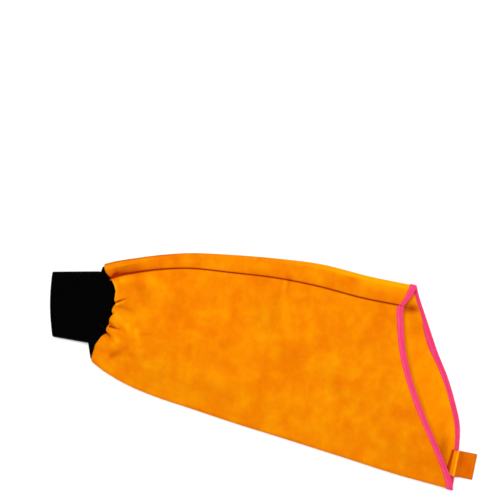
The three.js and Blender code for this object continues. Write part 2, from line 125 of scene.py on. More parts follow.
# Creases of the upper half: start and end on plan, depth and half width, all in millimetres, and how dark
# the nap is painted there, as painted shade in the crease. A ridge's depth is below zero, and so is its
# shade, a painted highlight. A row with little or no depth only darkens or lightens a broad patch of the
# nap.
creases = [
    ((-212.5, 94.6), (-191.6, 102.6), 2.4, 0.9, 1.5),
    ((-204.0, 97.8), (-196.0, 102.0), 1.0, 0.9, 0.8),
    ((-214.5, 80.4), (-206.5, 84.4), 2.0, 1.0, 1.3),
    ((-214.0, 64.3), (-199.5, 60.6), 2.2, 1.0, 1.3),
    ((-222.5, 58.0), (-213.8, 51.4), 2.6, 1.4, 1.7),
    ((-208.5, 134.4), (-204.5, 136.4), 1.2, 1.8, 1.4),
    ((-206.4, 94.6), (-194.0, 97.6), -1.6, 1.5, -1.4),
    ((-200.0, 92.0), (-184.0, 88.0), 1.4, 3.4, 0.42),
    ((-180.0, 122.0), (-160.0, 116.0), 1.2, 10.0, 0.2),
    ((-168.0, 114.0), (-160.0, 96.0), 0.8, 8.0, 0.16),
    ((-211.5, 22.8), (-189.7, 35.6), 1.6, 3.6, 0.4),
    ((-216.0, 69.6), (-208.0, 65.0), 0.7, 3.0, 0.5),
    ((-207.0, 82.0), (-196.0, 70.0), -1.2, 4.2, -0.85),
    ((-189.0, 66.0), (-184.0, 52.0), -0.9, 4.2, -0.8),
    ((-176.0, 58.0), (-173.0, 42.0), -0.9, 4.6, -0.7),
    ((-209.0, 122.0), (-205.0, 100.0), -0.9, 4.0, -0.8),
    ((-199.0, 127.0), (-182.0, 129.0), -0.9, 4.0, -0.6),
    ((-158.0, 128.0), (-138.0, 118.0), -0.5, 7.0, -0.5),
    ((-204.0, 46.0), (-196.0, 42.0), -0.8, 4.0, -0.6),
    ((-205.0, 42.0), (-214.0, 34.0), -0.6, 4.0, -0.3),
    ((-172.0, 54.0), (-150.0, 52.0), 0.8, 3.0, 0.16),
    ((-194.0, 150.0), (-184.0, 149.0), 0.5, 5.0, 0.2),
    ((34.5, 130.0), (31.0, 112.0), 1.0, 3.0, 0.22),
    ((29.0, 126.0), (25.5, 104.0), -1.0, 3.0, -0.5),
    ((19.0, 104.0), (6.0, 62.0), 0.8, 7.0, 0.15),
    ((-60.0, -30.0), (-20.0, -52.0), 0.7, 7.0, 0.02),
    ((95.0, -20.0), (150.0, -60.0), 0.8, 9.0, 0.1),
    ((-160.0, 104.0), (-148.0, 98.0), 0.4, 12.0, 0.1),
    ((-118.0, 96.0), (-104.0, 90.0), 0.3, 15.0, 0.1),
    ((-120.0, -22.0), (-80.0, -42.0), -0.5, 12.0, -0.2),
    ((84.0, -2.0), (112.0, -14.0), 0.3, 15.0, 0.07),
    ((-68.0, -2.0), (-56.0, -46.0), -0.3, 17.0, -0.4),
    ((-184.0, 92.0), (-170.0, 74.0), 0.3, 12.0, 0.2),
    ((0.0, 82.0), (22.0, 36.0), 0.2, 18.0, 0.12),
    ((168.0, -26.0), (184.0, -54.0), 0.2, 16.0, 0.06),
    ((-98.0, -36.0), (-90.0, -56.0), 0.0, 14.0, -0.25),
    ((-30.0, 26.0), (-28.0, -62.0), 0.0, 15.0, -0.25),
    ((44.0, -84.0), (96.0, -96.0), 0.0, 12.0, -0.18),
    ((178.0, -100.0), (214.0, -128.0), 0.4, 18.0, 0.12),
    ((-204.0, 138.5), (-176.0, 145.0), 0.3, 7.0, 0.36),
    ((140.0, 125.0), (200.0, 110.0), -0.3, 8.0, -0.5),
    ((-92.0, 156.0), (-74.0, 156.0), 0.2, 7.0, 0.07),
]
# Painted shade and painted light on the lower half's inside, seen through the mouth: shade in the corner
# under the seam and towards the tab, light along the upper half's mouth edge to lift the shade that it
# casts.
inner_marks = [
    dict(at=(205.0, 88.0), long=12.0, wide=5.6, dark=0.95),
    dict(at=(250.5, -108.0), long=7.5, wide=22.0, dark=0.55),
    dict(at=(213.0, 66.0), long=10.0, wide=22.0, dark=0.22),
    dict(at=(196.0, 50.0), long=4.0, wide=24.0, dark=-0.5),
    dict(at=(200.0, 12.0), long=4.5, wide=26.0, dark=-0.45),
    dict(at=(211.0, -24.0), long=5.0, wide=20.0, dark=-0.5),
    dict(at=(226.0, -62.0), long=6.0, wide=20.0, dark=-0.6),
]
# Soft swells, deeper among the gathers, and the painted shade and painted highlight beside the fold and
# the seam.
swells = [
    dict(size=58 * mm, height=1.3 * mm, ruffled=1.5 * mm),
    dict(size=19 * mm, height=0.45 * mm, ruffled=0.9 * mm),
]
lower_swell = dict(size=70 * mm, height=0.35 * mm)
ruffle_reach = 0.09
# Painted shade in the gathers' hollows, darker where they are deeper, fading along the sleeve.
gather_dark, gather_reach = 45, 0.03  # shade for each metre of a gather's depth, and how far along it lasts
# Painted shade: fold_line along the seam side's fold by the wrist, seam_line in the seam's groove,
# strip_shade on the strip under the seam's proud front edge. fold_gleam is a painted highlight along that
# fold and the strip beside it, growing towards the mouth.
fold_line = dict(dark=0.9, long=0.25, wide=1.2 * mm)
fold_gleam = dict(light=0.9, start=0.5, run=0.35, wide=6 * mm)
seam_front = dict(proud=1.4 * mm, reach=9 * mm, root=4.2 * mm)
seam_strip = dict(proud=-1.6 * mm, reach=12 * mm, root=1.2 * mm)
seam_groove = 1.3 * mm
seam_line = dict(dark=1.2, wide=0.9 * mm, wider=0.5 * mm)
strip_shade = dict(dark=0.14, darker=0.7, wide=5.5 * mm, wider=2.5 * mm)
near_cuff_reach = 0.18
# Painted shade on the seam's turned-in edges, inside the sleeve.
turned_shade = 0.6


def smooth(x):
    s = min(max(x, 0.0), 1.0)
    return s * s * (3 - 2 * s)


def hump(x):
    return math.exp(-x * x)


def curve(rows, key, column, at):
    """A smooth curve through one column of a table, at a place along its key column."""
    last = len(rows) - 1
    at = min(max(at, rows[0][key]), rows[last][key])
    i = 0
    while i < last - 1 and at > rows[i + 1][key]:
        i += 1

    def slope(a, b):
        return (rows[b][column] - rows[a][column]) / (rows[b][key] - rows[a][key])

    span = rows[i + 1][key] - rows[i][key]
    start = slope(max(i - 1, 0), min(i + 1, last)) * span
    end = slope(i, min(i + 2, last)) * span
    s = (at - rows[i][key]) / span
    a, b = rows[i][column], rows[i + 1][column]
    return (
        a * (2 * s**3 - 3 * s**2 + 1)
        + start * (s**3 - 2 * s**2 + s)
        + b * (3 * s**2 - 2 * s**3)
        + end * (s**3 - s**2)
    )


@lru_cache(maxsize=None)
def ring(along):
    """How the flattened tube lies at one share of the panel's length."""
    place = max(along, 0.0)
    spread = curve(lay_rows, "along", "spread", place)
    width = wrist_width + (mouth_width - wrist_width) * spread
    centre = curve(lay_rows, "along", "centre", place) * panel_length
    run = panel_length - mouth_slant - wrist_slant
    return dict(
        place=place,
        width=width,
        seam_fold=Vector((wrist_slant + along * run, centre + width / 2, 0)),
        plain_fold=Vector((along * panel_length, centre - width / 2, 0)),
        height=curve(lay_rows, "along", "height", place) * puff_height,
        seam=curve(lay_rows, "along", "seam", place),
        radius=fold_radius + (wrist_fold_radius - fold_radius) * (1 - smooth(place / 0.25)),
    )


@lru_cache(maxsize=None)
def edge_shift(side, across):
    """How far the mouth's edge and the wrist's edge are moved along the sleeve."""
    column = "lower" if side == "lower" else "upper"
    mouth = curve(mouth_rows, "across", column, across) * mouth_width
    back = curve(setback_rows, "across", "back", across) * gather_setback if side != "lower" else 0.0
    return mouth, back


def tuck_relief(tucks, place, across, width):
    """Depth of the gathers at a place, and how far they draw the edge back."""
    depth = 0.0
    notch = 0.0
    for tuck in tucks:
        fade = 1 - place / tuck["reach"]
        if fade <= 0:
            continue
        middle = tuck["across"] + tuck["lean"] * place / tuck["reach"]
        away = abs(across - middle) * width / (tuck["half"] * wrist_width)
        groove = math.exp(-(away**1.5))
        depth += tuck["depth"] * puff_height * groove * fade**1.2
        notch += tuck["notch"] * gather_setback * groove * fade**3
    return depth, notch


def dent_relief(place, across):
    depth = 0.0
    for dent in dents:
        a = (place - dent["along"]) / dent["long"]
        b = (across - dent["across"]) / dent["wide"]
        depth += dent["depth"] * puff_height * hump(a) * hump(b)
    return depth


def crease_relief(point):
    """Depth of the creases at a place on plan, and the shade painted in them."""
    depth = 0.0
    shade = 0.0
    for first, last, deep, half, dark in creases:
        start = Vector(first) * mm
        line = Vector(last) * mm - start
        offset = point.xy - start
        t = offset.dot(line) / line.length_squared
        nearest = start + line * min(max(t, 0.0), 1.0)
        away = (point.xy - nearest).length / (half * mm)
        if away < 3:
            groove = hump(away) * (1 - 0.6 * smooth(t))
            depth += deep * mm * groove
            shade += dark * groove
    return depth, shade


def swell(point, size):
    return noise.noise(Vector((point.x / size, point.y / size, 3.7)))


def inner_shade(point):
    shade = 0.0
    for mark in inner_marks:
        a = (point.x / mm - mark["at"][0]) / mark["long"]
        b = (point.y / mm - mark["at"][1]) / mark["wide"]
        shade += mark["dark"] * hump(a) * hump(b)
    return shade


def gleam(place):
    """How much highlight is painted on the nap along the seam side's fold, growing towards the mouth."""
    return fold_gleam["light"] * smooth((place - fold_gleam["start"]) / fold_gleam["run"])


def seam_relief(row, across, lip):
    """Height beside the seam, whose front edge stands proud of the strip, and painted shade in its groove
    and on the strip.
    """
    side = seam_front if lip > 0 else seam_strip
    away = abs(across - row["seam"]) * row["width"]
    fade = 1 - 0.75 * smooth((row["place"] - 0.96) / 0.03)
    near_cuff = hump(row["place"] / near_cuff_reach)
    rise = side["proud"] * math.exp(-away / side["reach"])
    groove = side["root"] * math.exp(-((away / seam_groove) ** 1.5))
    shade = seam_line["dark"] * hump(away / (seam_line["wide"] + seam_line["wider"] * near_cuff))
    if lip < 0:
        wide = strip_shade["wide"] + strip_shade["wider"] * near_cuff
        shade += (strip_shade["dark"] + strip_shade["darker"] * near_cuff) * math.exp(-away / wide)
    return fade * (rise - groove), shade


def hide_point(side, share, along, lip=0.0, shades=None):
    """A point of the hide's outer face. side is top, lower, plain or seam. The last two are the folds, where
    share is a turn in degrees. lip is 1 on the front of the seam and -1 on the strip behind it."""
    row = ring(along)
    width, height, radius, place = row["width"], row["height"], row["radius"], row["place"]
    flat = width - 2 * radius
    shade = 0.0
    if side in ("plain", "seam"):
        turn = math.radians(share)
        off = radius * (1 - math.cos(turn))
        if side == "seam":
            shade = fold_line["dark"] * hump(place / fold_line["long"]) * hump(off / fold_line["wide"])
            shade -= gleam(place)
        else:
            off = width - off
        z = radius + radius * math.sin(turn)
    else:
        off = radius + share * flat
        z = 0.0
        if side == "top":
            bulge = max(4 * share * (1 - share), 0.0) ** 1.2
            z = 2 * radius + (height - 2 * radius) * bulge
    across = off / width
    point = row["seam_fold"].lerp(row["plain_fold"], across)
    below = side == "lower" or (side != "top" and share < 0)
    mouth, back = edge_shift("lower" if below else "top", round(across, 4))
    point.x += mouth * place**3 + back * (1 - place) ** 6
    if side in ("top", "lower"):
        tucks = upper_tucks if side == "top" else lower_tucks
        depth, notch = tuck_relief(tucks, place, across, width)
        point.x += notch
        window = max(min(1.0, 12 * share * (1 - share)), 0.0)
        placed = point + datum
        if side == "top":
            crease, dark = crease_relief(placed)
            z -= depth + dent_relief(place, across) + crease
            shade += dark + gather_dark * depth * math.exp(-place / gather_reach)
            shade -= gleam(place) * hump(across * width / fold_gleam["wide"])
            ruffle = math.exp(-place / ruffle_reach)
            for wave in swells:
                z += window * (wave["height"] + wave["ruffled"] * ruffle) * swell(placed, wave["size"])
            if lip:
                rise, dark = seam_relief(row, across, lip)
                z += rise
                shade += dark
        else:
            shade = inner_shade(placed)
            z += depth + window * lower_swell["height"] * (1 + swell(placed, lower_swell["size"]))
    point.z = z + tape_lift * smooth((place - 0.94) / 0.03)
    if shades is not None:
        shades.append(shade)
    return point + datum


turned_edge = [(0.5, -1.8), (2.2, -3.1), (5.0, -4.2), (8.5, -5.2)]  # across and up from the seam, in mm
turned_apart = 0.15 * mm


def seam_share(row):
    """Where the seam runs, as a share of the flat part between the folds."""
    return (row["seam"] * row["width"] - row["radius"]) / (row["width"] - 2 * row["radius"])


def turned_point(step, along, lip):
    """A point of one of the two hide edges that are turned in together along the seam."""
    row = ring(along)
    root = hide_point("top", seam_share(row), along, lip)
    across, up = turned_edge[step]
    taper = 0.25 + 0.75 * smooth(row["place"] / 0.03) * smooth((0.985 - row["place"]) / 0.02)
    side = (row["plain_fold"] - row["seam_fold"]).normalized()
    return root + side * (across * mm * taper) + Vector((0, 0, up * mm * taper + turned_apart * lip))


upper_steps, lower_steps, strip_steps, fold_steps = 122, 64, 22, 9
front_crowding, strip_crowding = 1.35, 1.4  # lanes lie closer together by the seam
ring_steps = 164
ring_crowding = 1.6  # and rings by the wrist
hem_steps = 6

lanes = [("turned", k, -1) for k in reversed(range(len(turned_edge)))]
lanes += [("strip", (1 - k / strip_steps), -1) for k in range(strip_steps)]
lanes += [("seam", 90 - 180 * k / fold_steps, 0) for k in range(fold_steps)]
lanes += [("lower", k / lower_steps, 0) for k in range(lower_steps)]
lanes += [("plain", -90 + 180 * k / fold_steps, 0) for k in range(fold_steps)]
lanes += [("front", 1 - k / upper_steps, 1) for k in range(upper_steps + 1)]
lanes += [("turned", k, 1) for k in range(len(turned_edge))]

hem_turns = [math.radians(90 * k / hem_steps) for k in range(hem_steps)]
hem_places = [hem_roll * (1 - math.cos(turn)) / panel_length for turn in hem_turns]
hem_drops = [hem_roll * (1 - math.sin(turn)) for turn in hem_turns]
first_place = hem_roll / panel_length
steps = [k / ring_steps for k in range(ring_steps + 1)]
spaced = [(s + ring_crowding * s**2) / (1 + ring_crowding) for s in steps]
places = hem_places + [first_place + (1 - first_place) * s for s in spaced]


def lane_point(lane, along, shades=None):
    kind, value, lip = lane
    if kind == "turned":
        if shades is not None:
            shades.append(turned_shade)
        return turned_point(value, along, lip)
    if kind in ("front", "strip"):
        seam = seam_share(ring(along))
        if kind == "front":
            share = seam + (1 - seam) * value**front_crowding
        else:
            share = seam * (1 - (1 - value) ** strip_crowding)
        return hide_point("top", share, along, lip, shades)
    return hide_point(kind, value, along, 0.0, shades)


def new_piece(name, bm):
    mesh = bpy.data.meshes.new(name)
    bm.to_mesh(mesh)
    bm.free()
    piece = bpy.data.objects.new(name, mesh)
    bpy.context.scene.collection.objects.link(piece)
    for face in mesh.polygons:
        face.use_smooth = True
    return piece


def thicken(piece, name, thickness):
    wall = piece.modifiers.new(name, "SOLIDIFY")
    wall.thickness = thickness
    wall.offset = -1
    return wall


def cut_grid(columns, rows):
    """A flat cut of cloth or hide, and its vertices by column and row."""
    bm = bmesh.new()
    uv = bm.loops.layers.uv.new("cut")
    bm.verts.layers.float.new("shade")
    bm.verts.layers.float.new("outer_shade")
    bmesh.ops.create_grid(bm, x_segments=columns, y_segments=rows, size=0.5)
    table = {}
    for vert in bm.verts:
        i = round((vert.co.x + 0.5) * columns)
        j = round((vert.co.y + 0.5) * rows)
        table[i, j] = vert
    return bm, uv, table


def lay_uvs(bm, uv, table, columns, rows):
    """Writes each vertex's place on the flat cut, in metres, measured along the laid surface."""
    flat = {}
    middle = rows // 2
    for i in range(columns + 1):
        across = 0.0
        flat[i, middle] = 0.0
        for j in range(middle + 1, rows + 1):
            across += (table[i, j].co - table[i, j - 1].co).length
            flat[i, j] = across
        across = 0.0
        for j in range(middle - 1, -1, -1):
            across -= (table[i, j].co - table[i, j + 1].co).length
            flat[i, j] = across
    along = [0.0]
    for i in range(1, columns + 1):
        along.append(along[-1] + (table[i, middle].co - table[i - 1, middle].co).length)
    spot = {vert: (along[i], flat[i, j]) for (i, j), vert in table.items()}
    for face in bm.faces:
        for loop in face.loops:
            loop[uv].uv = spot[loop.vert]


columns, rows = len(places) - 1, len(lanes) - 1
bm, uv, table = cut_grid(columns, rows)
shade_layer = bm.verts.layers.float["shade"]
outer_layer = bm.verts.layers.float["outer_shade"]
for (i, j), vert in table.items():
    shades = []
    vert.co = lane_point(lanes[j], places[i], shades)
    vert[shade_layer] = shades[0]
    vert[outer_layer] = 0.0 if lanes[j][0] == "lower" else shades[0]
bm.normal_update()
drops = {table[i, j]: hem_drops[i] for i in range(hem_steps) for j in range(rows + 1)}
for vert, drop in drops.items():
    vert.co -= vert.normal * drop
lay_uvs(bm, uv, table, columns, rows)
bm.normal_update()
leather = new_piece("leather_panel", bm)
thicken(leather, "hide", hide).material_offset = 1


class Term:
    """A socket in a material. Arithmetic on it adds Math nodes."""

    def __init__(self, finish, socket):
        self.finish = finish
        self.socket = socket

    def __add__(self, other):
        return self.finish.maths("ADD", self, other)

    def __radd__(self, other):
        return self.finish.maths("ADD", other, self)

    def __sub__(self, other):
        return self.finish.maths("SUBTRACT", self, other)

    def __rsub__(self, other):
        return self.finish.maths("SUBTRACT", other, self)

    def __mul__(self, other):
        return self.finish.maths("MULTIPLY", self, other)

    def __rmul__(self, other):
        return self.finish.maths("MULTIPLY", other, self)


class Finish:
    """A material's nodes, made one by one from their settings and the values or links of their sockets."""

    def __init__(self, name):
        self.material = bpy.data.materials.new(name)
        self.material.use_nodes = True
        self.tree = self.material.node_tree
        self.shader = self.tree.nodes["Principled BSDF"]

    def node(self, kind, settings=None, sockets=None, output=0):
        made = self.tree.nodes.new("ShaderNode" + kind)
        for name, value in (settings or {}).items():
            if name == "stops":
                self.stops(made.color_ramp, value)
            else:
                setattr(made, name, value)
        for name, value in (sockets or {}).items():
            self.feed(made.inputs[name], value)
        return Term(self, made.outputs[output])

    def stops(self, ramp, stops):
        while len(ramp.elements) < len(stops):
            ramp.elements.new(0.5)
        for element, (position, colour) in zip(ramp.elements, stops):
            element.position = position
            element.color = (*colour, 1.0)

    def feed(self, socket, value):
        if isinstance(value, Term):
            self.tree.links.new(value.socket, socket)
        else:
            socket.default_value = value

    def maths(self, operation, a, b, clamp=False):
        return self.node("Math", {"operation": operation, "use_clamp": clamp}, {0: a, 1: b})

    def clamp(self, value):
        return self.maths("ADD", value, 0.0, clamp=True)

    def ramp(self, value, low, high):
        """Runs from 0 to 1 as value goes from low to high."""
        return self.maths("MULTIPLY", value - low, 1.0 / (high - low), clamp=True)

    def blend(self, factor, a, b):
        """Mixes two colours, each a Term or its red, green and blue."""
        a, b = (colour if isinstance(colour, Term) else (*colour, 1.0) for colour in (a, b))
        return self.node("Mix", {"data_type": "RGBA"}, {0: factor, 6: a, 7: b}, 2)

    def noise(self, place, scale, detail=2.0, roughness=0.5, distortion=0.0):
        sockets = {"Vector": place, "Scale": scale, "Detail": detail, "Roughness": roughness}
        sockets["Distortion"] = distortion
        return self.node("TexNoise", None, sockets)

    def stretched(self, place, scale):
        return self.node("Mapping", None, {"Vector": place, "Scale": scale})

    def bands(self, place, direction, scale, distortion=0.5):
        sockets = {"Vector": place, "Scale": scale, "Distortion": distortion}
        return self.node("TexWave", {"bands_direction": direction}, sockets, "Fac")

    def bump(self, height, distance, strength=1.0, below=None):
        sockets = {"Height": height, "Distance": distance, "Strength": strength}
        if below is not None:
            sockets["Normal"] = below
        return self.node("Bump", None, sockets)

    def place(self):
        return self.node("TexCoord", None, None, "Object")

    def uv(self):
        return self.node("TexCoord", None, None, "UV")

    def attribute(self, name):
        return self.node("Attribute", {"attribute_name": name}, None, "Fac")

    def set(self, **sockets):
        """Feeds the shader's own sockets, with _ for each space in a name."""
        for name, value in sockets.items():
            self.feed(self.shader.inputs[name.replace("_", " ")], value)


def linear(red, green, blue):
    """A screen colour, 0 to 255, as the light that a material works with."""

    def channel(value):
        s = value / 255
        return s / 12.92 if s <= 0.04045 else ((s + 0.055) / 1.055) ** 2.4

    return tuple(channel(value) for value in (red, green, blue))


def suede(name, dark, middle, light, shade_brown, pale_to, shade_name="shade"):
    """Napped split hide: soft clouds where the dye took unevenly, and a short nap. The vertex layer named by
    shade_name darkens it towards its shade colour above zero, as painted shade, and lightens it towards its
    pale colour below zero, as painted light."""
    finish = Finish(name)
    cut = finish.uv()
    spot = finish.place()
    clouds = finish.noise(spot, 17, 3.0, 0.55, 0.2)
    patches = finish.noise(finish.stretched(spot, (1.0, 0.8, 1.0)), 54, 4.0, 0.54, 0.2)
    blots = finish.noise(spot, 150, 3.0, 0.6, 0.1)
    nap = finish.noise(cut, 850, 3.0, 0.7)
    fibres = finish.noise(finish.stretched(cut, (1.0, 0.35, 1.0)), 2400, 2.0, 0.6)
    tone = 0.4 * clouds + 0.44 * patches + 0.1 * blots + 0.06 * nap
    even = finish.ramp(tone, 0.325, 0.685)
    dyed = finish.node("ValToRGB", {"stops": [(0.0, dark), (0.5, middle), (1.0, light)]}, {0: even})
    shade = finish.attribute(shade_name)
    lightened = finish.blend(finish.clamp(-1.0 * shade), dyed, pale_to)
    marked = finish.blend(finish.clamp(shade) * 0.95, lightened, shade_brown)
    speckled = finish.blend(finish.ramp(nap, 0.62, 0.78) * 0.12, marked, dark)
    low = finish.bump(clouds, 2.2 * mm, 0.35)
    mid = finish.bump(patches, 0.9 * mm, 0.35, low)
    fuzz = finish.bump(nap, 0.28 * mm, 0.55, mid)
    hairs = finish.bump(fibres, 0.1 * mm, 0.5, fuzz)
    finish.set(Base_Color=speckled, Roughness=0.92, Normal=hairs, Specular_IOR_Level=0.02)
    finish.set(Sheen_Weight=0.05, Sheen_Roughness=0.5, Sheen_Tint=(1.0, 0.3, 0.0, 1.0))
    return finish.material


# The colour that painted shade darkens the hide to, in creases, gathers and the seam's groove.
shade_brown = linear(142, 23, 0)
hide_outside = (linear(209, 98, 0), linear(218, 119, 0), linear(226, 141, 1))
# The inside's colours are paler and yellower than the outside's: partly the flesh side's own tone, partly
# painted light against the shade inside the sleeve.
hide_inside = (linear(222, 112, 0), linear(234, 132, 0), linear(240, 150, 2))
# The colours that painted light and painted highlights lighten the hide to, outside and inside.
pale_outside = linear(236, 154, 2)
pale_inside = linear(250, 160, 4)
leather.data.materials.append(suede("split_leather", *hide_outside, shade_brown, pale_outside, "outer_shade"))
leather.data.materials.append(suede("split_leather_inside", *hide_inside, shade_brown, pale_inside))
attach(leather, "root")
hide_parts("leather_sleeve")

# The wrist cuff is a doubled tube of black rib knit. Its folded end is free, and its raw ends are stretched
# and sewn inside the turned edge of the leather, so its ribs fan out where they go under the gathers.
rib_lanes = 6
ribs_across, ribs_round_fold = 25, 4
cuff_length = 49.5 * mm
cuff_end_width = 91 * mm
cuff_root_width = 100 * mm
cuff_end_height = 15 * mm
cuff_root_height = 19 * mm
cuff_wall = 3.2 * mm
cuff_root_wall = 2.2 * mm
cuff_tuck = 8 * mm
rib_depth = 0.55 * mm
root_gap = 2.5 * mm
cuff_bow = 3 * mm
end_shift, root_shift = 11.5 * mm, 7.45 * mm  # how far its two ends lie towards the seam

flat_lanes, fold_lanes = ribs_across * rib_lanes, ribs_round_fold * rib_lanes
cuff_lanes = [("top", k / flat_lanes) for k in range(flat_lanes)]
cuff_lanes += [("plain", 90 - 180 * k / fold_lanes) for k in range(fold_lanes)]
cuff_lanes += [("lower", 1 - k / flat_lanes) for k in range(flat_lanes)]
cuff_lanes += [("seam", -90 + 180 * k / fold_lanes) for k in range(fold_lanes)]

seam_corner = hide_point("seam", 0, 0.0) - datum
plain_corner = hide_point("plain", 0, 0.0) - datum


def cuff_ring(along):
    """The middle of the knit's wall round the plain part of the cuff."""
    end_x = (plain_corner.x + seam_corner.x) / 2 - root_gap - cuff_length - wrist_slant / 2
    width = cuff_end_width + (cuff_root_width - cuff_end_width) * along
    height = cuff_end_height + (cuff_root_height - cuff_end_height) * along
    y = (seam_corner.y + plain_corner.y) / 2 + end_shift + (root_shift - end_shift) * along
    start = Vector((end_x + (seam_corner.x - root_gap - end_x) * along, y + width / 2, 0))
    stop = Vector((end_x + (plain_corner.x - root_gap - end_x) * along, y - width / 2, 0))
    inset = cuff_wall / 2
    radius = (height - cuff_wall) / 2 - 0.6 * mm
    bow = cuff_bow * (1 - smooth(along))
    loop = []
    for side, share in cuff_lanes:
        if side in ("plain", "seam"):
            turn = math.radians(share)
            off = inset + radius * (1 - math.cos(turn))
            off = width - off if side == "plain" else off
            z = inset + radius + radius * math.sin(turn)
        else:
            off = inset + radius + share * (width - 2 * inset - 2 * radius)
            z = inset
            if side == "top":
                z += 2 * radius + (height - cuff_wall - 2 * radius) * (4 * share * (1 - share)) ** 1.2
        point = start.lerp(stop, off / width)
        point.x -= bow * math.sin(math.pi * off / width)
        point.z = z
        loop.append(point + datum)
    return loop


def hide_normal(side, share, along):
    """Which way the hide faces, from the places a short step round and along from it."""
    step = 0.002
    turn = 4.0 if side in ("plain", "seam") else 0.01
    sign = {"top": 1, "plain": -1, "lower": -1, "seam": 1}[side]
    after = hide_point(side, share + turn * sign, along)
    before = hide_point(side, share - turn * sign, along)
    back = max(along - step, 0.0)
    ahead = hide_point(side, share, back + 2 * step) - hide_point(side, share, back)
    return (after - before).cross(ahead).normalized()


def rim_ring(along, depth):
    """A ring at a depth under the hide's outer face, or past its edge where along is below zero."""
    loop = []
    for side, share in cuff_lanes:
        at = max(along, 0.0)
        point = hide_point(side, share, at) - hide_normal(side, share, at) * depth
        if along < 0:
            point.x += along * panel_length
        loop.append(point)
    return loop


# Rows of the knit from its free end to its raw ends, each the middle of the wall and the wall's thickness.
plain_rows = 16
cuff_rows = []
for k in range(plain_rows + 1):
    cuff_rows.append((cuff_ring(k / plain_rows), cuff_wall))
rim_rows = [(-2.0 * mm, 4.8 * mm), (0.6 * mm, 4.6 * mm), (3.5 * mm, 4.3 * mm), (cuff_tuck, 4.1 * mm)]
for along, depth in rim_rows:
    cuff_rows.append((rim_ring(along / panel_length, depth), cuff_root_wall))


def between(a, b, c, d, t):
    """A point on the smooth curve from b to c that also heeds a and d."""
    return 0.5 * (
        2 * b + (c - a) * t + (2 * a - 5 * b + 4 * c - d) * t * t + (3 * b - a - 3 * c + d) * t**3
    )


row_parts, spread_parts = 2, 5  # how finely rows are divided, plain ones and where the knit widens
fine_rows = []
for k in range(len(cuff_rows) - 1):
    parts = spread_parts if k == plain_rows else row_parts
    near = [cuff_rows[min(max(k + d, 0), len(cuff_rows) - 1)] for d in (-1, 0, 1, 2)]
    for part in range(parts):
        t = part / parts
        if k >= plain_rows:
            loop = [b.lerp(c, t) for b, c in zip(near[1][0], near[2][0])]
        else:
            loop = [between(a, b, c, d, t) for a, b, c, d in zip(*(row[0] for row in near))]
        fine_rows.append((loop, near[1][1] + (near[2][1] - near[1][1]) * t))
fine_rows.append(cuff_rows[-1])

nose_steps = 5
columns = 2 * len(fine_rows) + nose_steps
bm, uv, table = cut_grid(columns, len(cuff_lanes))


def cuff_normal(i, j):
    loop = fine_rows[i][0]
    ahead = fine_rows[min(i + 1, len(fine_rows) - 1)][0][j]
    behind = fine_rows[max(i - 1, 0)][0][j]
    round_it = loop[(j + 1) % len(loop)] - loop[j - 1]
    return round_it.cross(ahead - behind).normalized()


def cuff_vertex(i, j):
    """Column i runs up the inner layer, round the folded nose at the free end, and back along the outer."""
    count = len(fine_rows)
    rib = 0.5 - 0.5 * math.cos(2 * math.pi * j / rib_lanes)
    if i < count:
        k, side, back = count - 1 - i, -1.0, 0.0
    elif i <= count + nose_steps:
        turn = math.pi * (i - count + 0.5) / (nose_steps + 1)
        k, side, back = 0, -math.cos(turn), math.sin(turn)
    else:
        k, side, back = i - count - nose_steps - 1, 1.0, 0.0
    loop, thick = fine_rows[k]
    normal = cuff_normal(k, j)
    outward = (loop[j] - fine_rows[min(k + 1, count - 1)][0][j]).normalized()
    half = thick / 2 - rib_depth * rib
    point = loop[j] + normal * (side * half) + outward * (back * half)
    point.z = max(point.z, 0.02 * mm)
    return point


for (i, j), vert in table.items():
    vert.co = cuff_vertex(i, j % len(cuff_lanes))
lay_uvs(bm, uv, table, columns, len(cuff_lanes))
bmesh.ops.remove_doubles(bm, verts=bm.verts, dist=0.005 * mm)
raw_edges = [edge for edge in bm.edges if edge.is_boundary]
bmesh.ops.bridge_loops(bm, edges=raw_edges)
bmesh.ops.recalc_face_normals(bm, faces=bm.faces)
cuff = new_piece("knitted_cuff", bm)


def rib_knit(name, yarn, bloom):
    """Black rib knit: rows of small stitches up each rib, a slight bloom of loose fibre on top."""
    finish = Finish(name)
    cut = finish.uv()
    rows_of_stitches = finish.bands(cut, "X", 200, 1.2)
    fluff = finish.noise(cut, 1400, 3.0, 0.7)
    shift = finish.noise(cut, 60, 3.0, 0.5)
    tone = 0.5 * rows_of_stitches + 0.3 * fluff + 0.2 * shift
    colour = finish.blend(finish.ramp(tone, 0.3, 0.8), yarn, bloom)
    stitched = finish.bump(rows_of_stitches, 0.25 * mm, 0.7)
    fuzzy = finish.bump(fluff, 0.12 * mm, 0.6, stitched)
    finish.set(Base_Color=colour, Roughness=0.95, Normal=fuzzy, Specular_IOR_Level=0.005)
    finish.set(Sheen_Weight=0.03, Sheen_Roughness=0.35)
    return finish.material


cuff.data.materials.append(rib_knit("rib_knit", (0.0003, 0.0003, 0.0003), (0.0016, 0.0016, 0.0018)))
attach(cuff, "root")
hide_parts("wrist_cuff")

# The mouth is bound with a woven pink tape, folded over the cut edge and sewn through with one line of
# thread. It bunches slightly between the stitches. Its inner edge wanders, so it shows wider in some places
# than in others.
tape = 0.9 * mm
tape_gap = 0.1 * mm
leg_steps, bend_steps = 14, 6
bend_turn = 60  # degrees either side of the fold that count as the bend
stitch_inset = 2.9 * mm
stitch_pitch = 3.3 * mm
outer_leg = 8.0 * mm
strip_root_leg = 4.6 * mm
strip_widens = 28 * mm
seam_pinch = dict(share=0.3, wide=1.6 * mm)
tape_fullness = 0.3 * mm
stitch_pull = dict(depth=0.45 * mm, wide=0.9 * mm)
